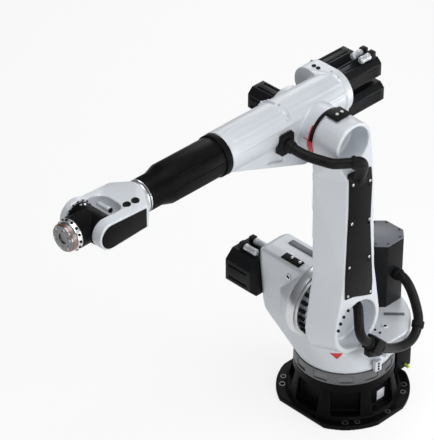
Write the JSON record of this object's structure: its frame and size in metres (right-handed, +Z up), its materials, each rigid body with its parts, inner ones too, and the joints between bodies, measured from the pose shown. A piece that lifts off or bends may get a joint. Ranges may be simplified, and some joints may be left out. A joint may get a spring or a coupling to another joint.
{
  "type": "industrial robot arm",
  "caption": "Floor-mounted industrial robot arm with turning axes from the base to the tool flange, motors on its arms, a forked wrist and hoses along the joints.",
  "frame": {"origin": "centre of the base plate's underside, on axis 1 at floor level", "axes": "+X the way the forearm points at rest, +Y the side on which the lower arm stands, +Z up along axis 1"},
  "size_m": [2.216, 0.9066, 1.998],
  "materials": {
    "black_cast": "black powder coat on a casting",
    "black_paint": "satin black paint",
    "grey_lid": "dark grey paint",
    "silver_paint": "silver-white paint on a casting",
    "machined_steel": "turned steel",
    "nickel": "nickel-plated plug shells",
    "black_rubber": "ribbed black hose",
    "black_plastic": "moulded black plastic",
    "red_mark": "red mark",
    "earth_green": "yellow-green earth terminal"
  },
  "bodies": {
    "base": {"base_casting": "black_cast", "connector_box": "black_cast", "earth_stud": "earth_green"},
    "turntable": {"slew_ring": "machined_steel", "turntable_casting": "silver_paint", "axis1_motor": "black_paint", "axis1_motor_lid": "grey_lid", "axis2_motor": "black_paint", "axis2_motor_plugs": "nickel", "axis2_gear": "machined_steel", "tower_hatch": "black_paint", "tower_top_plate": "grey_lid", "turntable_clamp": "black_plastic", "stop_block": "silver_paint", "turntable_hose": "black_rubber"},
    "lower_arm": {"lower_arm_casting": "silver_paint", "lower_arm_cover": "black_paint", "hose_elbow": "black_plastic", "axis3_stop": "black_paint", "lower_hose": "black_rubber"},
    "upper_arm": {"upper_arm_casting": "silver_paint", "forearm_tube": "black_cast", "forearm_collar": "black_cast", "axis3_motor": "black_paint", "axis4_motor": "black_paint", "axis5_motor": "black_paint", "axis6_motor": "black_paint", "rear_motor_plugs": "nickel", "hose_bracket": "black_plastic", "axis3_seal": "black_rubber", "axis3_mark": "red_mark", "upper_hose": "black_rubber"},
    "wrist": {"wrist_ring": "machined_steel", "wrist_fork": "silver_paint", "fork_cover": "black_paint", "far_cheek_cap": "silver_paint"},
    "hand": {"wrist_body": "black_cast", "wrist_band": "machined_steel"},
    "flange": {"tool_flange": "machined_steel"}
  },
  "joints": [
    {"name": "axis1", "type": "hinge", "parent": "base", "child": "turntable", "pos_m": [0, 0, 0.222], "axis": [0, 0, 1], "range_deg": [-185, 185]},
    {"name": "axis2", "type": "hinge", "parent": "turntable", "child": "lower_arm", "pos_m": [0.286, 0, 0.746], "axis": [0, 1, 0], "range_deg": [-60, 85], "deforming": ["lower_hose"]},
    {"name": "axis3", "type": "hinge", "parent": "lower_arm", "child": "upper_arm", "pos_m": [0.356, 0, 1.805], "axis": [0, -1, 0], "range_deg": [-65, 175], "deforming": ["upper_hose"]},
    {"name": "axis4", "type": "hinge", "parent": "upper_arm", "child": "wrist", "pos_m": [1.38, 0, 1.863], "axis": [1, 0, 0], "range_deg": [-185, 185]},
    {"name": "axis5", "type": "hinge", "parent": "wrist", "child": "hand", "pos_m": [1.68, 0, 1.863], "axis": [0, -1, 0], "range_deg": [-115, 115]},
    {"name": "axis6", "type": "hinge", "parent": "hand", "child": "flange", "pos_m": [1.82, 0, 1.863], "axis": [1, 0, 0], "range_deg": [-350, 350]}
  ]
}
